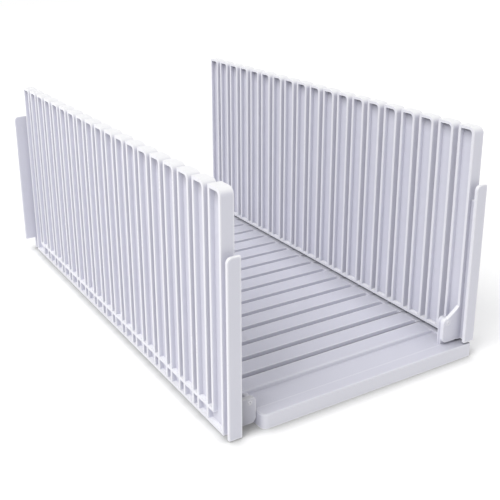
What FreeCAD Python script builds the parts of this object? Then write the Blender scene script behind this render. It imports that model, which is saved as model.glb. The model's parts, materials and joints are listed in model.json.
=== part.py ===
import FreeCAD, Part
import math
import os
import re
import Sketcher

# A folding bread slicer guide: two slotted walls, hinged at a grooved base tray.
# Millimetres, +Z up, X across the loaf, Y along it with the slicing end at -Y.
# The origin is the middle of the underside of the box round the whole guide.

# Every size that can be set on its own. Sizes that follow from these are in DERIVED.
DRIVING = {
    # the comb of teeth, the same in both walls
    "pitch": 14.0,
    "tooth_count": 19,
    "slot_width": 3.6,
    "clear_width": 135.4,
    "wall_thickness": 6.6,
    "web_thickness": 2.0,
    "wall_height": 115.2,
    "wall_lift": 0.4,
    "right_foot": 1.2,
    "rim_width": 1.5,
    "tooth_corner": 3.5,
    "left_slot_floor": 8.7,
    # the end strips
    "strip_thickness": 1.7,
    "strip_height": 87.0,
    "strip_corner": 2.5,
    "strip_slot_depth": 8.7,
    "rear_foot_height": 7.7,
    "rear_plate_height": 95.0,
    # the hinges
    "pivot_inset": 7.3,
    "pivot_height": 12.6,
    "pin_radius": 1.2,
    "pin_proud": 0.3,
    "pin_chamfer": 0.3,
    "running_clearance": 0.05,
    "side_clearance": 0.3,
    "bracket_thickness": 2.0,
    "bracket_reach": 10.5,
    "bracket_height": 14.8,
    "bracket_lift": 1.5,
    "bracket_corner": 2.4,
    "bracket_toe": 2.8,
    "left_flare_reach": 3.0,
    "right_flare_reach": 8.0,
    "flare_height": 5.4,
    "flare_radius": 40.0,
    "ear_thickness": 2.5,
    "ear_half_width": 2.2,
    # the base tray
    "fold_gap": 0.4,
    "lip_top": 7.4,
    "lip_width": 7.2,
    "gutter_depth": 0.5,
    "base_inset": 1.4,
    "base_corner": 3.5,
    "right_corner": 1.0,
    "edge_round": 0.5,
    "board_top": 9.2,
    "board_setback": 20.0,
    "board_margin": 4.0,
    "board_round": 0.8,
    "groove_depth": 2.4,
    "bare_slots": 1,
    "skirt": 2.0,
    "skin": 2.0,
    "rib_thickness": 1.6,
    "rib_lift": 0.6,
    "long_ribs": 6,
    "cross_ribs": 10,
}

# Formulas in the same sheet, one for each size that follows from others.
DERIVED = {
    "tooth_width": "pitch - slot_width",
    "teeth_length": "(tooth_count - 1) * pitch + tooth_width",
    "overall_length": "teeth_length + 2 * (slot_width + strip_thickness)",
    "inner_corner": "tooth_corner - rim_width",
    "bracket_back": "teeth_length / 2 - bracket_thickness",
    "ear_front": "bracket_back - side_clearance",
    "wall_raise": "wall_lift + wall_thickness + fold_gap",
    "left_wall_x": "-clear_width / 2",
    "right_wall_x": "clear_width / 2 + wall_thickness",
    "left_pivot_x": "left_wall_x + wall_thickness / 2 + pivot_inset",
    "right_pivot_x": "right_wall_x - wall_thickness / 2 - pivot_inset",
    "gutter_floor": "lip_top - gutter_depth",
    "base_left": "left_wall_x + wall_thickness / 2 + side_clearance",
    "base_right": "right_wall_x + wall_thickness / 2 - base_inset",
    "notch_x": "left_wall_x + wall_thickness / 2 + bracket_reach + side_clearance",
    "board_left": "base_left + board_margin",
    "board_right": "right_wall_x - wall_thickness / 2 - board_margin",
    "board_front": "overall_length / 2 - board_setback",
    "first_groove": "-teeth_length / 2 + (bare_slots + 1) * pitch - slot_width / 2",
    "groove_count": "tooth_count - 1 - 2 * bare_slots",
    "cell_height": "gutter_floor - skin",
    "board_cell_height": "board_top - groove_depth - skin",
    "rib_top": "(gutter_floor + board_cell_height) / 2",
    "long_rib_step": "(base_right - base_left) / (long_ribs + 1)",
    "cross_rib_step": "overall_length / (cross_ribs + 1)",
}


def fill_sheet(doc):
    """Write the driving sizes as plain numbers and the derived ones as formulas."""
    sheet = doc.addObject("Spreadsheet::Sheet", "dims")
    rows = [(name, str(size)) for name, size in DRIVING.items()]
    rows += [(name, "=" + formula) for name, formula in DERIVED.items()]
    for number, (name, content) in enumerate(rows, start=1):
        sheet.set(f"A{number}", name)
        sheet.set(f"B{number}", content)
        sheet.setAlias(f"B{number}", name)
    doc.recompute()
    return sheet


def dim(text):
    """A formula of sheet names, written the way an object of the document refers to them."""
    return re.sub(r"[a-z_]+", lambda word: "dims." + word.group(), text)


def value(doc, text):
    """What a formula of sheet names comes to, in millimetres."""
    return float(doc.dims.evalExpression(dim(text)))


class Corner:
    """One corner of an outline: its place, its rounding, and any arc that leaves it."""

    def __init__(self, x, y, radius=None, arc_radius=None):
        self.x = x
        self.y = y
        self.radius = radius
        self.arc_radius = arc_radius


def sign(number):
    """-1, 0 or 1."""
    return (number > 1e-6) - (number < -1e-6)


def rounded_points(doc, corners):
    """Turn corners into (x, y, arc radius or None) points; an arc runs to the next point."""
    places = [(value(doc, c.x), value(doc, c.y)) for c in corners]
    points = []
    for index, corner in enumerate(corners):
        if corner.radius is None:
            points.append((corner.x, corner.y, corner.arc_radius))
            continue
        here = places[index]
        before = places[index - 1]
        after = places[(index + 1) % len(corners)]
        into = (sign(here[0] - before[0]), sign(here[1] - before[1]))
        out = (sign(after[0] - here[0]), sign(after[1] - here[1]))
        start_x = f"{corner.x} - {into[0]} * ({corner.radius})"
        start_y = f"{corner.y} - {into[1]} * ({corner.radius})"
        end_x = f"{corner.x} + {out[0]} * ({corner.radius})"
        end_y = f"{corner.y} + {out[1]} * ({corner.radius})"
        left_turn = into[0] * out[1] - into[1] * out[0] > 0
        points.append((start_x, start_y, (corner.radius, left_turn)))
        points.append((end_x, end_y, None))
    return points


def arc_between(start, end, radius, left_turn):
    """The short arc from start to end, with its centre on the left or right of the chord."""
    chord = end - start
    middle = (start + end) * 0.5
    rise = math.sqrt(max(radius ** 2 - (chord.Length / 2) ** 2, 0.0))
    normal = FreeCAD.Vector(-chord.y, chord.x, 0).normalize()
    centre = middle + normal * (rise if left_turn else -rise)
    circle = Part.Circle(centre, FreeCAD.Vector(0, 0, 1), radius)
    first, last = (start, end) if left_turn else (end, start)
    first_angle = math.atan2(first.y - centre.y, first.x - centre.x)
    last_angle = math.atan2(last.y - centre.y, last.x - centre.x)
    return Part.ArcOfCircle(circle, first_angle, last_angle)


def pin_point(sketch, geometry, position, x, y):
    """Bind one end, or the centre, of a sketch element to two formulas."""
    for kind, text in (("DistanceX", x), ("DistanceY", y)):
        place = value(sketch.Document, text)
        number = sketch.addConstraint(
            Sketcher.Constraint(kind, -1, 1, geometry, position, place))
        sketch.setExpression(f"Constraints[{number}]", dim(text))


def draw_outline(sketch, corners):
    """Draw a closed outline of lines and arcs, with every point bound to the sheet."""
    doc = sketch.Document
    points = rounded_points(doc, corners)
    places = [FreeCAD.Vector(value(doc, x), value(doc, y), 0) for x, y, _ in points]
    ends = []
    for index, (_, _, arc) in enumerate(points):
        start = places[index]
        end = places[(index + 1) % len(points)]
        if arc is None:
            element = sketch.addGeometry(Part.LineSegment(start, end))
            ends.append((element, 1, 2))
            continue
        radius_text, left_turn = arc
        radius = value(doc, radius_text)
        element = sketch.addGeometry(arc_between(start, end, radius, left_turn))
        ends.append((element, 1, 2) if left_turn else (element, 2, 1))
        number = sketch.addConstraint(Sketcher.Constraint("Radius", element, radius))
        sketch.setExpression(f"Constraints[{number}]", dim(radius_text))
    for index, (element, start_position, _) in enumerate(ends):
        previous, _, previous_end = ends[index - 1]
        sketch.addConstraint(
            Sketcher.Constraint("Coincident", previous, previous_end, element, start_position))
        pin_point(sketch, element, start_position, points[index][0], points[index][1])


def draw_circle(sketch, x, y, radius):
    """Draw a circle whose centre and radius are bound to the sheet."""
    doc = sketch.Document
    centre = FreeCAD.Vector(value(doc, x), value(doc, y), 0)
    circle = Part.Circle(centre, FreeCAD.Vector(0, 0, 1), value(doc, radius))
    element = sketch.addGeometry(circle)
    number = sketch.addConstraint(
        Sketcher.Constraint("Radius", element, value(doc, radius)))
    sketch.setExpression(f"Constraints[{number}]", dim(radius))
    pin_point(sketch, element, 3, x, y)


def rectangle(left, right, bottom, top):
    """The four corners of an upright rectangle."""
    return [Corner(left, bottom), Corner(right, bottom), Corner(right, top), Corner(left, top)]


def origin_feature(body, role):
    """The body's own origin plane or axis of that role."""
    return next(f for f in body.Origin.OriginFeatures if f.Role == role)


def add_sketch(body, name, plane, outlines, offset="0"):
    """Attach a sketch to an origin plane, moved along the plane's normal by offset."""
    sketch = body.newObject("Sketcher::SketchObject", name)
    sketch.AttachmentSupport = [(origin_feature(body, plane), "")]
    sketch.MapMode = "FlatFace"
    sketch.setExpression("AttachmentOffset.Base.z", dim(offset))
    for corners in outlines:
        draw_outline(sketch, corners)
    return sketch


def add_pad(body, name, sketch, length, symmetric=False, reverse=False):
    """Pad a sketch along its normal, both ways or backwards where asked."""
    pad = body.newObject("PartDesign::Pad", name)
    pad.Profile = sketch
    pad.SideType = "Symmetric" if symmetric else "One side"
    pad.Reversed = reverse
    pad.setExpression("Length", dim(length))
    return pad


def add_pocket(body, name, sketch, length, symmetric=False, reverse=False):
    """Cut a sketch into the body against its normal, both ways or forwards where asked."""
    pocket = body.newObject("PartDesign::Pocket", name)
    pocket.Profile = sketch
    pocket.SideType = "Symmetric" if symmetric else "One side"
    pocket.Reversed = reverse
    pocket.setExpression("Length", dim(length))
    return pocket


def add_row(body, name, features, axis, step, count):
    """Repeat features along an origin axis."""
    row = body.newObject("PartDesign::LinearPattern", name)
    row.Originals = features
    row.Direction = (origin_feature(body, axis), [""])
    row.Mode = "Spacing"
    row.setExpression("Offset", dim(step))
    row.setExpression("Occurrences", dim(count))
    body.Tip = row
    return row


def add_fillet(body, name, base, radius, wanted):
    """Round the edges of base for which wanted(edge) is true."""
    body.Document.recompute()
    names = [f"Edge{i}" for i, edge in enumerate(base.Shape.Edges, start=1) if wanted(edge)]
    fillet = body.newObject("PartDesign::Fillet", name)
    fillet.Base = (base, names)
    fillet.setExpression("Radius", dim(radius))
    return fillet


def tooth_outline(front, back, bottom):
    """A tooth's side view: square but for the rounded top corner at its front."""
    return [
        Corner(front, bottom),
        Corner(back, bottom),
        Corner(back, "wall_height"),
        Corner(front, "wall_height", "tooth_corner"),
    ]


def rim_outline(front, back, front_foot, back_foot):
    """A tooth's raised rim: an arch whose two legs end at their own heights."""
    inner_front = f"{front} + rim_width"
    inner_back = f"{back} - rim_width"
    inner_top = "wall_height - rim_width"
    return [
        Corner(front, front_foot),
        Corner(inner_front, front_foot),
        Corner(inner_front, inner_top, "inner_corner"),
        Corner(inner_back, inner_top),
        Corner(inner_back, back_foot),
        Corner(back, back_foot),
        Corner(back, "wall_height"),
        Corner(front, "wall_height", "tooth_corner"),
    ]


def add_rim(body, name, front, front_foot, back_foot):
    """Pad one tooth's rim to the wall's full thickness."""
    outline = rim_outline(front, f"{front} + tooth_width", front_foot, back_foot)
    sketch = add_sketch(body, name + "_outline", "YZ_Plane", [outline])
    return add_pad(body, name, sketch, "wall_thickness", symmetric=True)


def add_rails(body, foot, slot_floor):
    """The thin web under the slots and the rail along the wall's foot."""
    band = rectangle("-teeth_length / 2", "teeth_length / 2", foot, slot_floor)
    band_sketch = add_sketch(body, "band_outline", "YZ_Plane", [band])
    add_pad(body, "band", band_sketch, "web_thickness", symmetric=True)

    rail = rectangle("-teeth_length / 2", "teeth_length / 2", foot, f"{foot} + rim_width")
    rail_sketch = add_sketch(body, "bottom_rail_outline", "YZ_Plane", [rail])
    add_pad(body, "bottom_rail", rail_sketch, "wall_thickness", symmetric=True)


def add_cross_rail(body):
    """The rail under the slots, from the first tooth's inner leg to the last tooth's."""
    start = "-teeth_length / 2 + tooth_width - rim_width"
    end = "teeth_length / 2 - tooth_width + rim_width"
    rail = rectangle(start, end, "left_slot_floor - rim_width", "left_slot_floor")
    sketch = add_sketch(body, "cross_rail_outline", "YZ_Plane", [rail])
    add_pad(body, "cross_rail", sketch, "wall_thickness", symmetric=True)


def add_teeth(body, foot, slot_floor):
    """The row of teeth, each a thin web with a raised rim round it."""
    first = "-teeth_length / 2"
    last = "teeth_length / 2 - tooth_width"
    add_rim(body, "first_rim", first, foot, f"{slot_floor} - rim_width")
    add_rim(body, "last_rim", last, f"{slot_floor} - rim_width", foot)

    web = tooth_outline(first, f"{first} + tooth_width", foot)
    web_sketch = add_sketch(body, "tooth_web_outline", "YZ_Plane", [web])
    tooth_web = add_pad(body, "tooth_web", web_sketch, "web_thickness", symmetric=True)
    add_row(body, "tooth_webs", [tooth_web], "Y_Axis", "pitch", "tooth_count")

    rim = add_rim(body, "second_rim", f"{first} + pitch", foot, foot)
    add_row(body, "inner_rims", [rim], "Y_Axis", "pitch", "tooth_count - 2")


def add_end_web(body, name, start, end, foot, top):
    """The thin web that ties an end strip to its tooth, open above as one more slot."""
    sketch = add_sketch(body, name + "_outline", "YZ_Plane", [rectangle(start, end, foot, top)])
    add_pad(body, name, sketch, "web_thickness", symmetric=True)


def add_front_strip(body, foot):
    """The flat strip across the wall's front end, rounded at its top -X corner."""
    outline = [
        Corner("-wall_thickness / 2", foot),
        Corner("wall_thickness / 2", foot),
        Corner("wall_thickness / 2", "strip_height"),
        Corner("-wall_thickness / 2", "strip_height", "strip_corner"),
    ]
    sketch = add_sketch(body, "front_strip_outline", "XZ_Plane", [outline], "overall_length / 2")
    add_pad(body, "front_strip", sketch, "strip_thickness", reverse=True)
    start = "-teeth_length / 2 - slot_width"
    top = "strip_height - strip_slot_depth"
    add_end_web(body, "front_web", start, "-teeth_length / 2", foot, top)


def add_rear_plate(body):
    """The rear plate: a foot as wide as the wall, then twice that width on the outside."""
    outline = [
        Corner("-wall_thickness / 2", "0"),
        Corner("wall_thickness / 2", "0"),
        Corner("wall_thickness / 2", "rear_plate_height"),
        Corner("-1.5 * wall_thickness", "rear_plate_height", "strip_corner"),
        Corner("-1.5 * wall_thickness", "rear_foot_height"),
        Corner("-wall_thickness / 2", "rear_foot_height"),
    ]
    sketch = add_sketch(body, "rear_plate_outline", "XZ_Plane", [outline], "-overall_length / 2")
    add_pad(body, "rear_plate", sketch, "strip_thickness")
    end = "teeth_length / 2 + slot_width"
    top = "rear_plate_height - strip_slot_depth"
    add_end_web(body, "rear_web", "teeth_length / 2", end, "0", top)


def bracket_outline(inward, flare_reach):
    """A hinge bracket's front view, flared up to the wall; inward is 1 or -1 along X."""
    def across(reach):
        return f"{inward} * (wall_thickness / 2 + {reach})"

    root = f"{inward} * web_thickness / 2"
    flare_top = "bracket_height + flare_height"
    return [
        Corner(root, "bracket_lift"),
        Corner(across("bracket_reach"), "bracket_lift", "bracket_toe"),
        Corner(across("bracket_reach"), "bracket_height", "bracket_corner"),
        Corner(across(flare_reach), "bracket_height", arc_radius=("flare_radius", inward < 0)),
        Corner(across("0"), flare_top),
        Corner(root, flare_top),
    ]


def add_brackets(body, inward, flare_reach):
    """One bracket in the plane of each end rim, drilled for its pin."""
    pivot_x = f"{inward} * (wall_thickness / 2 + pivot_inset)"
    hole = "pin_radius + running_clearance"
    for name, offset, reverse in (("front", "teeth_length / 2", True),
                                  ("rear", "-teeth_length / 2", False)):
        sketch = add_sketch(body, name + "_bracket_outline", "XZ_Plane",
                            [bracket_outline(inward, flare_reach)], offset)
        draw_circle(sketch, pivot_x, "pivot_height", hole)
        add_pad(body, name + "_bracket", sketch, "bracket_thickness", reverse=reverse)


def make_left_wall(doc):
    """The wall that hangs beside the tray, with a band of cells under its slots."""
    body = doc.addObject("PartDesign::Body", "left_wall")
    add_rails(body, "0", "left_slot_floor")
    add_cross_rail(body)
    add_front_strip(body, "0")
    add_rear_plate(body)
    add_brackets(body, inward=1, flare_reach="left_flare_reach")
    add_teeth(body, "0", "left_slot_floor")
    body.setExpression("Placement.Base.x", dim("left_wall_x"))
    body.setExpression("Placement.Base.z", dim("wall_lift"))
    return body


def make_right_wall(doc):
    """The wall that hangs over the tray, high enough to fold down on the left one."""
    body = doc.addObject("PartDesign::Body", "right_wall")
    slot_floor = "right_foot + rim_width"
    add_rails(body, "right_foot", slot_floor)
    add_front_strip(body, "right_foot")
    add_brackets(body, inward=-1, flare_reach="right_flare_reach")
    add_teeth(body, "right_foot", slot_floor)
    body.setExpression("Placement.Base.x", dim("right_wall_x"))
    body.setExpression("Placement.Base.z", dim("wall_raise"))
    return body


def tray_outline(inset, left_corner, right_corner=None):
    """The tray's plan, pulled in by inset: a rectangle with a notch at each left corner."""
    left = f"base_left + {inset}"
    right = f"base_right - {inset}"
    front = f"overall_length / 2 - {inset}"
    notch_x = f"notch_x + {inset}"
    notch_y = f"ear_front - {inset}"
    return [
        Corner(left, f"-({notch_y})"),
        Corner(notch_x, f"-({notch_y})"),
        Corner(notch_x, f"-({front})", left_corner),
        Corner(right, f"-({front})", right_corner),
        Corner(right, front, right_corner),
        Corner(notch_x, front, left_corner),
        Corner(notch_x, notch_y),
        Corner(left, notch_y),
    ]


def at_height(edge, height):
    """Whether all of an edge lies at one height."""
    return abs(edge.BoundBox.ZMin - height) < 0.01 and abs(edge.BoundBox.ZMax - height) < 0.01


def add_tray_top(body):
    """The slab, the shallow gutter sunk in it, and the board raised out of that."""
    doc = body.Document
    outline = tray_outline("0", "base_corner", "right_corner")
    slab_sketch = add_sketch(body, "slab_outline", "XY_Plane", [outline])
    slab = add_pad(body, "slab", slab_sketch, "lip_top")
    lip_top = value(doc, "lip_top")
    add_fillet(body, "lip_edge", slab, "edge_round", lambda edge: at_height(edge, lip_top))

    gutter = rectangle("base_left + lip_width / 2", "board_right + board_margin / 2",
                       "lip_width - overall_length / 2", "overall_length / 2 - lip_width")
    gutter_sketch = add_sketch(body, "gutter_outline", "XY_Plane", [gutter], "lip_top")
    add_pocket(body, "gutter", gutter_sketch, "gutter_depth")

    board = rectangle("board_left", "board_right", "-board_front", "board_front")
    board_sketch = add_sketch(body, "board_outline", "XY_Plane", [board], "gutter_floor")
    board_pad = add_pad(body, "board", board_sketch, "board_top - gutter_floor")
    board_top = value(doc, "board_top")
    add_fillet(body, "board_edge", board_pad, "board_round",
               lambda edge: at_height(edge, board_top))


def add_grooves(body):
    """The knife grooves across the board, one in line with each slot over it."""
    front = "first_groove - slot_width / 2"
    groove = rectangle(front, f"{front} + slot_width", "board_top - groove_depth",
                       "board_top + groove_depth")
    sketch = add_sketch(body, "groove_outline", "YZ_Plane", [groove])
    cut = add_pocket(body, "groove", sketch, "2 * base_right", symmetric=True)
    add_row(body, "grooves", [cut], "Y_Axis", "pitch", "groove_count")


def add_underside(body):
    """Hollow the tray from below, deeper under the board, and stiffen it with ribs."""
    hollow = tray_outline("skirt", "base_corner - skirt")
    hollow_sketch = add_sketch(body, "hollow_outline", "XY_Plane", [hollow])
    add_pocket(body, "hollow", hollow_sketch, "cell_height", reverse=True)

    deep = rectangle("board_left + skirt", "board_right - skirt",
                     "skirt - board_front", "board_front - skirt")
    deep_sketch = add_sketch(body, "board_hollow_outline", "XY_Plane", [deep])
    add_pocket(body, "board_hollow", deep_sketch, "board_cell_height", reverse=True)

    rib_height = "rib_top - rib_lift"
    rib_x = "base_left + long_rib_step"
    long_rib = rectangle(f"{rib_x} - rib_thickness / 2", f"{rib_x} + rib_thickness / 2",
                         "skirt / 2 - overall_length / 2", "overall_length / 2 - skirt / 2")
    long_sketch = add_sketch(body, "long_rib_outline", "XY_Plane", [long_rib], "rib_lift")
    long_pad = add_pad(body, "long_rib", long_sketch, rib_height)
    add_row(body, "long_rib_row", [long_pad], "X_Axis", "long_rib_step", "long_ribs")

    rib_y = "cross_rib_step - overall_length / 2"
    cross_rib = rectangle("base_left + skirt / 2", "base_right - skirt / 2",
                          f"{rib_y} - rib_thickness / 2", f"{rib_y} + rib_thickness / 2")
    cross_sketch = add_sketch(body, "cross_rib_outline", "XY_Plane", [cross_rib], "rib_lift")
    cross_pad = add_pad(body, "cross_rib", cross_sketch, rib_height)
    add_row(body, "cross_rib_row", [cross_pad], "Y_Axis", "cross_rib_step", "cross_ribs")


def add_ears(body):
    """Four upright ears, one behind each bracket, rounded about the pivots they carry."""
    for side, pivot_x, lift in (("left", "left_pivot_x", "wall_lift"),
                                ("right", "right_pivot_x", "wall_raise")):
        pivot_z = f"{lift} + pivot_height"
        top = f"{pivot_z} + ear_half_width"
        outline = [
            Corner(f"{pivot_x} - ear_half_width", "cell_height"),
            Corner(f"{pivot_x} + ear_half_width", "cell_height"),
            Corner(f"{pivot_x} + ear_half_width", top, "0.9 * ear_half_width"),
            Corner(f"{pivot_x} - ear_half_width", top, "0.9 * ear_half_width"),
        ]
        for end, offset, reverse in (("front", "ear_front", True),
                                     ("rear", "-ear_front", False)):
            name = f"{end}_{side}_ear"
            sketch = add_sketch(body, name + "_outline", "XZ_Plane", [outline], offset)
            draw_circle(sketch, pivot_x, pivot_z, "pin_radius")
            add_pad(body, name, sketch, "ear_thickness", reverse=reverse)


def make_base_tray(doc):
    """The tray between the walls: lip, gutter, grooved board and the hinge ears."""
    body = doc.addObject("PartDesign::Body", "base_tray")
    add_tray_top(body)
    add_ears(body)
    add_grooves(body)
    add_underside(body)
    return body


def make_pin(doc, name, x, z, end):
    """A hinge pin along Y, pressed in an ear and running in a bracket; end is -1 or 1."""
    body = doc.addObject("PartDesign::Body", name)
    sketch = add_sketch(body, name + "_outline", "XZ_Plane", [])
    draw_circle(sketch, "0", "0", "pin_radius")
    length = "pin_proud + bracket_thickness + side_clearance + ear_thickness"
    shank = add_pad(body, name + "_shank", sketch, length, reverse=end < 0)
    doc.recompute()
    chamfer = body.newObject("PartDesign::Chamfer", name + "_ends")
    rims = [i for i, edge in enumerate(shank.Shape.Edges, start=1) if edge.isClosed()]
    chamfer.Base = (shank, [f"Edge{i}" for i in rims])
    chamfer.setExpression("Size", dim("pin_chamfer"))
    body.setExpression("Placement.Base.x", dim(x))
    body.setExpression("Placement.Base.y", dim(f"{end} * (teeth_length / 2 + pin_proud)"))
    body.setExpression("Placement.Base.z", dim(z))
    return body


def make_pins(doc):
    """One pin for each end of each wall."""
    pins = []
    for side, x, z in (("left", "left_pivot_x", "wall_lift + pivot_height"),
                       ("right", "right_pivot_x", "wall_raise + pivot_height")):
        for where, end in (("front", -1), ("rear", 1)):
            pins.append(make_pin(doc, f"{side}_{where}_pin", x, z, end))
    return pins


def check_document(doc, bodies):
    """Stop if any object failed to compute or any piece isn't one sound solid."""
    for item in doc.Objects:
        if "Invalid" in item.State or "Error" in item.State:
            raise RuntimeError(f"{item.Name} did not compute: {item.State}")
    for body in bodies:
        shape = body.Shape
        if shape.isNull() or not shape.isValid() or len(shape.Solids) != 1:
            raise RuntimeError(f"{body.Label} is not one valid solid")


def main():
    """Build the guide and write one STEP file for each piece."""
    doc = FreeCAD.newDocument("bread_slicer_guide")
    fill_sheet(doc)
    bodies = [make_base_tray(doc), make_left_wall(doc), make_right_wall(doc)]
    bodies += make_pins(doc)
    doc.recompute()
    check_document(doc, bodies)
    os.makedirs("parts", exist_ok=True)
    for body in bodies:
        body.Shape.exportStep(f"parts/{body.Label}.step")
        box = body.Shape.optimalBoundingBox()
        print(f"{body.Label}: {body.Shape.Volume:.1f} mm3, "
              f"X {box.XMin:.2f} to {box.XMax:.2f}, "
              f"Y {box.YMin:.2f} to {box.YMax:.2f}, "
              f"Z {box.ZMin:.2f} to {box.ZMax:.2f}")


main()
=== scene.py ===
"""The looks of a folding bread slicer guide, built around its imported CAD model.

Two toothed walls of white plastic are hinged to a low grooved tray. Lengths are in metres,
+Z is up, X runs across the loaf and Y along it, with the slicing end at -Y.
"""

import json
import logging
import math
from dataclasses import dataclass, field
from enum import Enum
from functools import cached_property
from typing import Any

import bmesh
import bpy
from mathutils import Matrix, Vector

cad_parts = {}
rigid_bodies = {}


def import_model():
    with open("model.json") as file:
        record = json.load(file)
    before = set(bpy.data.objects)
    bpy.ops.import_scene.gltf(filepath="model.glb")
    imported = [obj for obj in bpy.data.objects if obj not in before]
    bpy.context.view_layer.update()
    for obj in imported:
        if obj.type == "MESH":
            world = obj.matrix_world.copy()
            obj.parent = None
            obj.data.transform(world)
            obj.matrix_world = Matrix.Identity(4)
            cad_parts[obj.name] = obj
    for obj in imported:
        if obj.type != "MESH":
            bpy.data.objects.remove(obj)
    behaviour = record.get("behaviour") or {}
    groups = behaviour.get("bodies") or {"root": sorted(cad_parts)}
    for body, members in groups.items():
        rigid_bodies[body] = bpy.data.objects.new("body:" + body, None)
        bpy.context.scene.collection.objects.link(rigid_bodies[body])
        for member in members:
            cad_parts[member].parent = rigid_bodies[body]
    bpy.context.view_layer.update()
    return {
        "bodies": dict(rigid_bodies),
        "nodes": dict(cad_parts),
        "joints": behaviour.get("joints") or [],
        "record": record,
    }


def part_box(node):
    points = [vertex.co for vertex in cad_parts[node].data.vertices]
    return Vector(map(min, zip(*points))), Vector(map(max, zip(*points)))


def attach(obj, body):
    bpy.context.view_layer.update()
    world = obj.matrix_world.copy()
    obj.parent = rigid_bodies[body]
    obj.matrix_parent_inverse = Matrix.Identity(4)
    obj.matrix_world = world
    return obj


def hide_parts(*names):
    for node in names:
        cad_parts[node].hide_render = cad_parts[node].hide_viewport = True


Colour = tuple[float, float, float, float]
Tint = Colour | bpy.types.NodeSocket

MM = 0.001
CAP_THICKNESS = 1.5 * MM
PIN_EDGE_RADIUS = 0.08 * MM
BLACK: Colour = (0.0, 0.0, 0.0, 1.0)
WHITE: Colour = (1.0, 1.0, 1.0, 1.0)
TURNED = (0.3, 0.8)
OCCLUSION_SAMPLES = 8
IMAGE_SIZE = 500

log = logging.getLogger("bread_slicer_guide")


class Blend(Enum):
    """How two colours are put together."""

    MIX = "MIX"
    MULTIPLY = "MULTIPLY"


class Value:
    """A shader socket that can be used in plain arithmetic."""

    def __init__(self, shader: "Shader", socket: bpy.types.NodeSocket) -> None:
        """Wrap a socket.

        Args:
            shader: The shader whose node tree the socket is in.
            socket: An output socket that carries a number.
        """
        self.shader = shader
        self.socket = socket

    def _math(self, operation: str, first: Any, second: Any) -> "Value":
        """Add a Math node.

        Args:
            operation: The Math node's operation.
            first: A Value or a number.
            second: A Value or a number.

        Returns:
            The node's result.
        """
        node = self.shader.node("ShaderNodeMath", {"operation": operation}, {0: first, 1: second})
        return Value(self.shader, node.outputs[0])

    def __add__(self, other: Any) -> "Value":
        """This value plus another."""
        return self._math("ADD", self, other)

    def __radd__(self, other: Any) -> "Value":
        """A number plus this value."""
        return self._math("ADD", other, self)

    def __sub__(self, other: Any) -> "Value":
        """This value less another."""
        return self._math("SUBTRACT", self, other)

    def __rsub__(self, other: Any) -> "Value":
        """A number less this value."""
        return self._math("SUBTRACT", other, self)

    def __mul__(self, other: Any) -> "Value":
        """This value times another."""
        return self._math("MULTIPLY", self, other)

    def __rmul__(self, other: Any) -> "Value":
        """A number times this value."""
        return self._math("MULTIPLY", other, self)

    def __truediv__(self, other: Any) -> "Value":
        """This value divided by another."""
        return self._math("DIVIDE", self, other)

    def __abs__(self) -> "Value":
        """This value without its sign."""
        return self._math("ABSOLUTE", self, 0.0)

    def at_least(self, other: Any) -> "Value":
        """The larger of this value and another."""
        return self._math("MAXIMUM", self, other)

    def at_most(self, other: Any) -> "Value":
        """The smaller of this value and another."""
        return self._math("MINIMUM", self, other)

    def between(self, low: float, high: float) -> "Value":
        """0 below low, 1 above high and a straight rise from one to the other.

        Args:
            low: Where the rise starts.
            high: Where the rise ends.

        Returns:
            The mask.
        """
        return ((self - low) / (high - low)).at_least(0.0).at_most(1.0)


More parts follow.
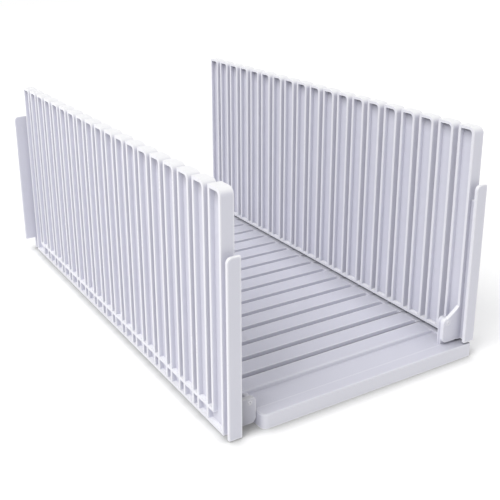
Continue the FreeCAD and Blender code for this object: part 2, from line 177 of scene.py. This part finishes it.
class Shader:
    """The node tree of a material or a world, with the few building steps that are used."""

    def __init__(self, owner: bpy.types.Material | bpy.types.World, output: str) -> None:
        """Empty the owner's node tree.

        Args:
            owner: The material or world.
            output: The type of its output node.
        """
        owner.use_nodes = True
        self.tree = owner.node_tree
        self.tree.nodes.clear()
        self.output = self.node(output, {}, {})

    @classmethod
    def for_material(cls, name: str) -> tuple["Shader", bpy.types.Material]:
        """Make an empty material.

        Args:
            name: The material's name.

        Returns:
            Its shader and the material.
        """
        material = bpy.data.materials.new(name)
        return cls(material, "ShaderNodeOutputMaterial"), material

    @cached_property
    def coordinates(self) -> bpy.types.Node:
        """The node that tells where the surface is and which way it faces."""
        return self.node("ShaderNodeTexCoord", {}, {})

    def node(self, kind: str, settings: dict[str, Any], inputs: dict[Any, Any]) -> bpy.types.Node:
        """Add a node: its settings first, then its sockets.

        Args:
            kind: The node's type.
            settings: Property names and what they are set to.
            inputs: Socket names or numbers and the value or link that each gets.

        Returns:
            The new node.
        """
        made = self.tree.nodes.new(kind)
        for name, setting in settings.items():
            setattr(made, name, setting)
        for name, given in inputs.items():
            source = given.socket if isinstance(given, Value) else given
            if isinstance(source, bpy.types.NodeSocket):
                self.tree.links.new(source, made.inputs[name])
            else:
                made.inputs[name].default_value = source
        return made

    def stretched(self, scale: tuple[float, float, float]) -> bpy.types.NodeSocket:
        """Object coordinates, scaled along each axis.

        Args:
            scale: The factor along X, Y and Z.

        Returns:
            The scaled coordinates.
        """
        place = self.coordinates.outputs["Object"]
        made = self.node("ShaderNodeMapping", {}, {"Vector": place, "Scale": scale})
        return made.outputs["Vector"]

    def noise(
        self, size: float, detail: float, place: bpy.types.NodeSocket | None = None
    ) -> Value:
        """A soft noise of about 0 to 1.

        Args:
            size: The size of its patches in metres.
            detail: How many finer layers it has.
            place: The coordinates that it reads, Object coordinates where not given.

        Returns:
            The noise.
        """
        made = self.node(
            "ShaderNodeTexNoise",
            {"noise_dimensions": "3D"},
            {
                "Vector": place or self.coordinates.outputs["Object"],
                "Scale": 1.0 / size,
                "Detail": detail,
            },
        )
        return Value(self, made.outputs[0])

    def part(self, coordinate: str, axis: str) -> Value:
        """One part of where the surface is or which way it faces.

        Args:
            coordinate: Object or Normal.
            axis: X, Y or Z.

        Returns:
            That part.
        """
        vector = self.coordinates.outputs[coordinate]
        made = self.node("ShaderNodeSeparateXYZ", {}, {0: vector})
        return Value(self, made.outputs[axis])

    def across(self, axis: str) -> Value:
        """1 on the faces across an axis, whichever way they face, and 0 on the others.

        Args:
            axis: X, Y or Z.

        Returns:
            The mask.
        """
        return abs(self.part("Normal", axis)).between(*TURNED)

    def upward(self) -> Value:
        """1 on the faces that face up and 0 on the others."""
        return self.part("Normal", "Z").between(*TURNED)

    def away(self) -> Value:
        """How far the surface is from the origin, in metres."""
        place = self.coordinates.outputs["Object"]
        made = self.node("ShaderNodeVectorMath", {"operation": "LENGTH"}, {0: place})
        return Value(self, made.outputs["Value"])

    def seen(self) -> Value:
        """1 where the camera, a reflection or a clear pane looks, and 0 for all other light."""
        path = self.node("ShaderNodeLightPath", {}, {})
        looks = Value(self, path.outputs["Is Camera Ray"])
        for ray in ("Is Glossy Ray", "Is Transmission Ray"):
            looks = looks.at_least(Value(self, path.outputs[ray]))
        return looks

    def mix(self, how: Blend, factor: Value, first: Tint, second: Tint) -> Tint:
        """Put two colours together.

        Args:
            how: How they are put together.
            factor: How much of the second is used, from 0 to 1.
            first: A colour or its socket.
            second: A colour or its socket.

        Returns:
            The resulting colour.
        """
        made = self.node(
            "ShaderNodeMix",
            {"data_type": "RGBA", "blend_type": how.value},
            {0: factor, 6: first, 7: second},
        )
        return made.outputs[2]

    def _closed_in(self, reach: float, settings: dict[str, Any]) -> Value:
        """How much of the surface's outlook is blocked.

        Args:
            reach: How far away a face still counts, in metres.
            settings: Which faces count.

        Returns:
            The mask.
        """
        settings = {"samples": OCCLUSION_SAMPLES} | settings
        made = self.node("ShaderNodeAmbientOcclusion", settings, {"Distance": reach})
        return 1.0 - Value(self, made.outputs["AO"])

    def crevices(self, reach: float, own: bool = True) -> Value:
        """How closed in the surface is: 0 in the open, a half at the foot of a wall, 1 in a slot.

        Args:
            reach: How far away a face still counts, in metres.
            own: Whether only the piece's own faces count.

        Returns:
            The mask.
        """
        return self._closed_in(reach, {"only_local": own})

    def edges(self, reach: float) -> Value:
        """How thin the piece is behind the surface: 0 on a flat, rising at outer edges.

        Args:
            reach: How far inwards a face still counts, in metres.

        Returns:
            The mask.
        """
        return self._closed_in(reach, {"only_local": True, "inside": True})

    def blend(
        self, factor: Value, first: bpy.types.Node, second: bpy.types.Node
    ) -> bpy.types.Node:
        """Put two surfaces together.

        Args:
            factor: How much of the second shows, from 0 to 1.
            first: A shader node.
            second: A shader node.

        Returns:
            The node that holds both.
        """
        inputs = {0: factor, 1: first.outputs[0], 2: second.outputs[0]}
        return self.node("ShaderNodeMixShader", {}, inputs)

    def close(self, surface: bpy.types.Node) -> None:
        """Send a surface to the output.

        Args:
            surface: The shader node that is shown.
        """
        self.tree.links.new(surface.outputs[0], self.output.inputs["Surface"])


@dataclass(frozen=True)
class MouldedPlastic:
    """A white moulded plastic with a fine spark-eroded grain.

    Attributes:
        name: The material's name.
        colour: Its linear colour.
        shade: The linear colour of its faint cloudy patches.
        crevice_shade: What its colour is multiplied by deep in a slot, as painted shade.
        highlight_colour: The linear colour of the painted highlight on its edges.
        cover: How much of that colour covers an edge, from 0 to 1.
        edge_reach: How far from an edge the painted highlight and the smoother wear go, in
            metres.
        slot_reach: How far apart the walls of a slot with painted shade are at most, in metres.
        patch: The size of the cloudy patches in metres.
        flow: The size of the faint upright flow marks in metres.
        grain: The size of the grain in metres.
        grain_depth: The height of the grain in metres.
        roughness: Its mean roughness.
        flow_roughness: How far the flow marks change that.
        grain_roughness: How far the grain changes it.
        rubbed_sheen: How much less rough a rubbed edge is.
    """

    name: str
    colour: Colour
    shade: Colour
    crevice_shade: Colour = (0.6, 0.6, 0.62, 1.0)
    highlight_colour: Colour = (0.95, 0.95, 1.0, 1.0)
    cover: float = 0.93
    edge_reach: float = 1.2 * MM
    slot_reach: float = 5.0 * MM
    patch: float = 45.0 * MM
    flow: float = 12.0 * MM
    grain: float = 0.9 * MM
    grain_depth: float = 0.012 * MM
    roughness: float = 0.38
    flow_roughness: float = 0.16
    grain_roughness: float = 0.1
    rubbed_sheen: float = 0.08

    def edge_wear_and_highlight(self, shader: Shader) -> Value:
        """Where the edges get a painted highlight and handling wears them a little smoother.

        Args:
            shader: The material's shader.

        Returns:
            The mask.
        """
        return shader.edges(self.edge_reach).between(0.1, 0.4)

    def lightened(self, shader: Shader, edge_wear_and_highlight: Value, tint: Tint) -> Tint:
        """Paint a highlight on the edges.

        Args:
            shader: The material's shader.
            edge_wear_and_highlight: The mask of the edges.
            tint: The colour so far.

        Returns:
            The lightened colour.
        """
        return shader.mix(Blend.MIX, edge_wear_and_highlight * self.cover, tint, self.highlight_colour)

    def paint_shade(self, shader: Shader, tint: Tint) -> Tint:
        """Paint shade into the slots and crevices.

        Args:
            shader: The material's shader.
            tint: The colour so far.

        Returns:
            The darkened colour.
        """
        # painted shade: darker where the piece's own faces close the surface in
        sheltered = shader.crevices(self.slot_reach).between(0.2, 1.0)
        return shader.mix(Blend.MULTIPLY, sheltered, tint, self.crevice_shade)

    def material(self) -> bpy.types.Material:
        """Build the material.

        Returns:
            The material, ready to be put on a piece.
        """
        shader, material = Shader.for_material(self.name)
        clouds = shader.noise(self.patch, 3.0).between(0.35, 0.7)
        flow = shader.noise(self.flow, 2.0, shader.stretched((1.0, 1.0, 0.25)))
        fine = shader.noise(self.grain, 3.0)
        edge_wear_and_highlight = self.edge_wear_and_highlight(shader)

        tint = shader.mix(Blend.MIX, clouds, self.colour, self.shade)
        # painted highlight: the edges are lighter
        tint = self.lightened(shader, edge_wear_and_highlight, tint)
        # painted shade in the slots and crevices
        tint = self.paint_shade(shader, tint)
        rough = self.roughness + (flow - 0.5) * self.flow_roughness
        rough = rough + (fine - 0.5) * self.grain_roughness - edge_wear_and_highlight * self.rubbed_sheen
        bump = shader.node(
            "ShaderNodeBump",
            {},
            {"Strength": 0.6, "Distance": self.grain_depth, "Height": fine + flow * 2.0},
        )
        surface = shader.node(
            "ShaderNodeBsdfPrincipled",
            {},
            {
                "Base Color": tint,
                "Roughness": rough.at_least(0.15).at_most(0.8),
                "IOR": 1.49,
                "Normal": bump.outputs["Normal"],
            },
        )
        shader.close(surface)
        return material


@dataclass(frozen=True)
class WallPlastic(MouldedPlastic):
    """The plastic of a toothed wall, with a painted highlight on its rims, painted light on its
    upward faces and painted shade under the caps and on the brackets.

    Attributes:
        middle: Where the middle of the wall lies along X, in metres.
        rims: How far from it the thin rims start, in metres.
        brackets: Where the painted shade on the brackets sets in on the inner side, in metres
            from the middle.
        bracket_fade: Where it thins out and where it has gone, in metres from the middle.
        bracket_shade: How much of the painted shade lies on the brackets, from 0 to 1.
        caps: How high the underside of the teeth's caps lies, in metres.
        lit_top_colour: The linear colour painted on its upward faces, mostly the caps' tops, as
            painted light from above.
        shade_colour: What its colour is multiplied by where shade is painted.
        line: Where the painted dark line of shade under a cap starts and ends below it, in
            metres.
        fade: How far the fainter painted shade below that line goes, in metres.
        faint: How much of the painted shade that is, from 0 to 1.
    """

    middle: float = 0.0
    rims: float = 2.6 * MM
    brackets: tuple[float, float] = (3.6 * MM, 4.2 * MM)
    bracket_fade: tuple[float, float] = (3.0 * MM, 18.0 * MM)
    bracket_shade: float = 0.0
    caps: float = 0.0
    lit_top_colour: Colour = (0.98, 0.98, 1.0, 1.0)
    shade_colour: Colour = (0.14, 0.14, 0.15, 1.0)
    line: tuple[float, float] = (0.5 * MM, 2.2 * MM)
    fade: float = 8.0 * MM
    faint: float = 0.3

    def inward(self, shader: Shader) -> Value:
        """How far the surface lies from the wall's middle towards the loaf.

        Args:
            shader: The material's shader.

        Returns:
            The distance in metres, below 0 on the outer side.
        """
        return (self.middle - shader.part("Object", "X")) * math.copysign(1.0, self.middle)

    def rim(self, shader: Shader) -> Value:
        """Where the surface lies as far out as the rims of the teeth.

        Args:
            shader: The material's shader.

        Returns:
            The mask.
        """
        return abs(self.inward(shader)).between(self.rims, self.rims + 0.5 * MM)

    def edge_wear_and_highlight(self, shader: Shader) -> Value:
        """Where the edges and the rims get a painted highlight and handling wears them a little
        smoother.

        Args:
            shader: The material's shader.

        Returns:
            The mask.
        """
        # painted highlight on the rims, which also get the smoother wear
        return super().edge_wear_and_highlight(shader).at_least(self.rim(shader) * shader.across("X"))

    def lightened(self, shader: Shader, edge_wear_and_highlight: Value, tint: Tint) -> Tint:
        """Paint a highlight on the edges and rims, and painted light on the upward faces.

        Args:
            shader: The material's shader.
            edge_wear_and_highlight: The mask of the edges and the rims.
            tint: The colour so far.

        Returns:
            The lightened colour.
        """
        tint = super().lightened(shader, edge_wear_and_highlight, tint)
        # painted light: the upward faces, mostly the caps' tops, are lighter
        return shader.mix(Blend.MIX, shader.upward(), tint, self.lit_top_colour)

    def paint_shade(self, shader: Shader, tint: Tint) -> Tint:
        """Paint shade into the slots, the corners under the caps and the brackets.

        Args:
            shader: The material's shader.
            tint: The colour so far.

        Returns:
            The darkened colour.
        """
        # painted shade: a dark line under each cap, fainter further down
        below = self.caps - shader.part("Object", "Z")
        faint = (1.0 - below.between(0.0, self.fade)) * self.faint
        under = (1.0 - below.between(*self.line)).at_least(faint)
        under = under * shader.across("X") * (1.0 - self.rim(shader))
        inward = self.inward(shader)
        # painted shade on the brackets' inner side, darkest next to the wall
        bracket = inward.between(*self.brackets) * (1.0 - inward.between(*self.bracket_fade))
        painted_shade_mask = under.at_least(bracket * self.bracket_shade)
        tint = shader.mix(Blend.MULTIPLY, painted_shade_mask, tint, self.shade_colour)
        return super().paint_shade(shader, tint)


@dataclass(frozen=True)
class TrayPlastic(MouldedPlastic):
    """The plastic of the tray, with painted light on the faces across Y and painted shade on its
    top at the foot of the walls.

    Attributes:
        lit_fronts: How much lighter the faces across Y are painted, from 0 to 1, as painted
            light.
        foot: How much darker the top is painted at the foot of another piece, from 0 to 1, as
            painted shade.
        foot_reach: How far out from that piece the painted shade goes, in metres.
    """

    lit_fronts: float = 0.4
    foot: float = 0.7
    foot_reach: float = 28.0 * MM

    def lightened(self, shader: Shader, edge_wear_and_highlight: Value, tint: Tint) -> Tint:
        """Paint a highlight on the edges and painted light on the fronts.

        Args:
            shader: The material's shader.
            edge_wear_and_highlight: The mask of the edges.
            tint: The colour so far.

        Returns:
            The lightened colour.
        """
        # painted light: the faces across Y are lighter
        lighter = (edge_wear_and_highlight * self.cover).at_least(shader.across("Y") * self.lit_fronts)
        return shader.mix(Blend.MIX, lighter, tint, self.highlight_colour)

    def paint_shade(self, shader: Shader, tint: Tint) -> Tint:
        """Paint shade into the grooves and on the top at the foot of the walls.

        Args:
            shader: The material's shader.
            tint: The colour so far.

        Returns:
            The darkened colour.
        """
        tint = super().paint_shade(shader, tint)
        # painted shade: the top is darker where another piece, such as a wall, closes it in
        near = shader.crevices(self.foot_reach, own=False) - shader.crevices(self.foot_reach)
        foot_shade_mask = near.at_least(0.0) * shader.upward() * self.foot
        return shader.mix(Blend.MULTIPLY, foot_shade_mask, tint, BLACK)


@dataclass(frozen=True)
class StudioFloor:
    """A white floor that goes to pure white for the camera, keeps the lamp's shadow and has a
    painted contact shadow around the object.

    Attributes:
        name: The material's name.
        colour: Its linear colour.
        contact_shadow: Its linear colour where the object stands on it, a painted contact shadow
            that only the camera sees.
        contact_shadow_reach: How far out from the object that painted shadow goes, in metres.
        lift: The light that the camera alone sees it give, where 1 is white.
        far_lift: How much more of that light it gives far out.
        near: How far from the middle it starts to give more, in metres.
    """

    name: str = "studio_floor"
    colour: Colour = (0.9, 0.9, 0.9, 1.0)
    contact_shadow: Colour = (0.45, 0.45, 0.441, 1.0)
    contact_shadow_reach: float = 9.0 * MM
    lift: float = 0.3
    far_lift: float = 0.4
    near: float = 0.25

    def material(self) -> bpy.types.Material:
        """Build the material.

        Returns:
            The material, ready to be put on the floor.
        """
        shader, material = Shader.for_material(self.name)
        seen = shader.seen()
        # painted contact shadow: darker where the object closes the floor in, for the camera only
        contact = (shader.crevices(self.contact_shadow_reach, own=False) * 2.0).at_most(1.0)
        bare, shaded = (
            shader.node("ShaderNodeBsdfDiffuse", {}, {"Color": colour})
            for colour in (self.colour, self.contact_shadow)
        )
        matt = shader.blend(contact * seen, bare, shaded)
        far = shader.away().between(self.near, 3.0 * self.near)
        # the painted contact shadow also dims the white lift near the object
        strength = seen * (far * self.far_lift + self.lift) * (1.0 - contact * 0.7)
        dark, white = (
            shader.node("ShaderNodeEmission", {}, {"Strength": light}) for light in (0.0, 1.0)
        )
        glow = shader.blend(strength, dark, white)
        both = shader.node("ShaderNodeAddShader", {}, {0: matt.outputs[0], 1: glow.outputs[0]})
        shader.close(both)
        return material


@dataclass
class Moulding:
    """One moulded piece of the guide: the CAD solid with every sharp edge softened.

    Attributes:
        node: The CAD node that it stands for.
        body: The body that it rides on.
        slot: The record's material slot; not used.
        finish: Its plastic.
        edge_radius: The radius of its softened edges in metres.
        edge_steps: How many faces go round an edge.
        sharp_turn: The smallest turn between two faces that counts as an edge, in radians.
    """

    node: str
    body: str
    slot: str
    finish: MouldedPlastic
    edge_radius: float = 0.35 * MM
    edge_steps: int = 2
    sharp_turn: float = math.radians(25)

    def build(self, frame: dict[str, Any]) -> bpy.types.Object:
        """Make the piece from its CAD solid.

        Args:
            frame: The loaded frame.

        Returns:
            The piece, in place on its body.
        """
        shape = bmesh.new()
        shape.from_mesh(frame["nodes"][self.node].data)
        bmesh.ops.remove_doubles(shape, verts=shape.verts, dist=1e-6)
        bmesh.ops.dissolve_limit(
            shape, angle_limit=math.radians(0.5), verts=shape.verts, edges=shape.edges
        )
        self.soften(shape)
        mesh = bpy.data.meshes.new(self.node + "_moulding")
        shape.to_mesh(mesh)
        shape.free()
        piece = bpy.data.objects.new(self.node + "_moulding", mesh)
        bpy.context.scene.collection.objects.link(piece)
        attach(piece, self.body)
        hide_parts(self.node)
        return piece

    def soften(self, shape: bmesh.types.BMesh) -> None:
        """Round every edge at which the surface turns sharply.

        Args:
            shape: The piece's mesh, which is changed.
        """
        sharp = [e for e in shape.edges if e.calc_face_angle(0.0) > self.sharp_turn]
        bmesh.ops.bevel(
            shape,
            geom=sharp,
            offset=self.edge_radius,
            offset_type="OFFSET",
            affect="EDGES",
            segments=self.edge_steps,
            profile=0.5,
            material=-1,
            clamp_overlap=True,
        )
        for face in shape.faces:
            face.smooth = True

    def dress(self, piece: bpy.types.Object) -> None:
        """Put the plastic on the piece and keep its flat faces flat.

        Args:
            piece: The piece that build made.
        """
        piece.data.materials.append(self.finish.material())
        evened = piece.modifiers.new("flat_faces", "WEIGHTED_NORMAL")
        evened.keep_sharp = True
        evened.weight = 100


@dataclass
class Studio:
    """The camera, the lamps and the white floor.

    Attributes:
        eye: Where the camera stands, in metres.
        turn: The camera's heading, from +Y towards +X, in degrees.
        tilt: How far it looks down, in degrees.
        roll: Its roll about its own axis, in degrees.
        focal_pixels: The focal length in pixels of the square image.
        centre: The pixel that the camera's axis goes through.
        sensor: The width of the camera's sensor in millimetres.
        key_spot: Where the key lamp hangs, in metres.
        key_size: The length of its side, in metres.
        key_watts: Its power.
        surround: The strength of the even light from all around.
        floor_reach: How far the floor goes out from the middle, in metres.
    """

    eye: Vector = field(default_factory=lambda: Vector((-224.6, -403.5, 216.05)) * MM)
    turn: float = 31.03
    tilt: float = 18.456
    roll: float = -0.37
    focal_pixels: float = 818.1
    centre: tuple[float, float] = (241.6, 198.9)
    sensor: float = 36.0
    key_spot: Vector = field(default_factory=lambda: Vector((-2.2, -0.6, 3.28)))
    key_size: float = 2.0
    key_watts: float = 77.0
    surround: float = 0.56
    floor_reach: float = 2.0

    def place_camera(self) -> None:
        """Add the camera and make it the scene's."""
        data = bpy.data.cameras.new("studio_camera")
        data.sensor_width = self.sensor
        data.lens = self.focal_pixels / IMAGE_SIZE * self.sensor
        data.shift_x = (IMAGE_SIZE / 2 - self.centre[0]) / IMAGE_SIZE
        data.shift_y = (self.centre[1] - IMAGE_SIZE / 2) / IMAGE_SIZE
        data.clip_start = 0.01
        data.clip_end = 50.0
        camera = bpy.data.objects.new("studio_camera", data)
        bpy.context.scene.collection.objects.link(camera)
        heading = Matrix.Rotation(-math.radians(self.turn), 4, "Z")
        pitch = Matrix.Rotation(math.radians(90.0 - self.tilt), 4, "X")
        rolled = Matrix.Rotation(math.radians(self.roll), 4, "Z")
        camera.matrix_world = Matrix.Translation(self.eye) @ heading @ pitch @ rolled
        bpy.context.scene.camera = camera

    def hang_key_lamp(self) -> None:
        """Hang the square soft lamp that faces the object."""
        data = bpy.data.lights.new("key_lamp", "AREA")
        data.size = self.key_size
        data.energy = self.key_watts
        lamp = bpy.data.objects.new("key_lamp", data)
        bpy.context.scene.collection.objects.link(lamp)
        lamp.location = self.key_spot
        lamp.rotation_mode = "QUATERNION"
        lamp.rotation_quaternion = (-self.key_spot).to_track_quat("-Z", "Y")

    def surround_with_white(self) -> None:
        """Set the even surroundings, which are pure white to the camera."""
        world = bpy.data.worlds.new("studio_world")
        bpy.context.scene.world = world
        shader = Shader(world, "ShaderNodeOutputWorld")
        fill, white = (
            shader.node("ShaderNodeBackground", {}, {"Color": WHITE, "Strength": strength})
            for strength in (self.surround, 1.0)
        )
        shader.close(shader.blend(shader.seen(), fill, white))

    def lay_floor(self) -> bpy.types.Object:
        """Lay the floor that the guide stands on.

        Returns:
            The floor.
        """
        shape = bmesh.new()
        bmesh.ops.create_grid(shape, x_segments=1, y_segments=1, size=self.floor_reach)
        mesh = bpy.data.meshes.new("floor")
        shape.to_mesh(mesh)
        shape.free()
        mesh.materials.append(StudioFloor().material())
        floor = bpy.data.objects.new("floor", mesh)
        bpy.context.scene.collection.objects.link(floor)
        return floor

    def set_up(self) -> None:
        """Make the whole studio."""
        self.place_camera()
        self.hang_key_lamp()
        self.surround_with_white()
        self.lay_floor()
        bpy.context.scene.view_settings.view_transform = "Standard"


def crest_middle(wall: bpy.types.Object) -> float:
    """Find the middle of a toothed wall at the top of its teeth.

    Args:
        wall: The wall's CAD node.

    Returns:
        Where that middle lies along X, in metres.
    """
    places = [vertex.co for vertex in wall.data.vertices]
    top = max(place.z for place in places)
    across = [place.x for place in places if place.z > top - 0.1 * MM]
    return (min(across) + max(across)) / 2.0


def finishes(frame: dict[str, Any]) -> dict[str, MouldedPlastic]:
    """Mix the plastic of each moulding.

    Args:
        frame: The loaded frame.

    Returns:
        The plastics by the name of the piece, or of the pins on a side.
    """
    plastics: dict[str, MouldedPlastic] = {
        "base_tray": TrayPlastic(
            "tray_plastic",
            (0.74, 0.74, 0.82, 1.0),
            (0.72, 0.72, 0.805, 1.0),
            crevice_shade=(0.7, 0.7, 0.72, 1.0),
        ),
        # the left pins are coloured darker as painted shade, where the left wall shades them
        "left_pin": MouldedPlastic(
            "left_pin_shaded_plastic", (0.41, 0.41, 0.44, 1.0), (0.39, 0.39, 0.42, 1.0)
        ),
        "right_pin": MouldedPlastic(
            "right_pin_plastic", (0.66, 0.66, 0.72, 1.0), (0.64, 0.64, 0.7, 1.0)
        ),
    }
    # painted shade for each wall: in its crevices, and on the left wall's brackets
    for side, crevice_shade, bracket_shade in (
        ("left", (0.8, 0.8, 0.82, 1.0), 0.65),
        ("right", (0.6, 0.6, 0.62, 1.0), 0.0),
    ):
        plastics[f"{side}_wall"] = WallPlastic(
            f"{side}_wall_plastic",
            (0.79, 0.79, 0.87, 1.0),
            (0.77, 0.77, 0.855, 1.0),
            crevice_shade=crevice_shade,
            middle=crest_middle(frame["nodes"][f"{side}_wall"]),
            caps=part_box(f"{side}_wall")[1].z - CAP_THICKNESS,
            bracket_shade=bracket_shade,
        )
    return plastics


def main() -> None:
    """Build the guide's pieces around the frame, dress them and set up the studio."""
    logging.basicConfig(level=logging.INFO, format="%(name)s: %(message)s")
    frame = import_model()

    plastics = finishes(frame)
    mouldings = [
        Moulding("base_tray", "tray", "tray_plastic", plastics["base_tray"]),
        Moulding("left_wall", "left_wall", "wall_plastic", plastics["left_wall"]),
        Moulding("right_wall", "right_wall", "wall_plastic", plastics["right_wall"]),
    ]
    for side in ("left", "right"):
        for end in ("front", "rear"):
            pin, plastic = f"{side}_{end}_pin", plastics[f"{side}_pin"]
            mouldings.append(
                Moulding(pin, "tray", "pin_plastic", plastic, edge_radius=PIN_EDGE_RADIUS)
            )
    for moulding in mouldings:
        piece = moulding.build(frame)
        moulding.dress(piece)
        log.info("%s: %d faces", piece.name, len(piece.data.polygons))

    Studio().set_up()


if __name__ == "__main__":
    main()
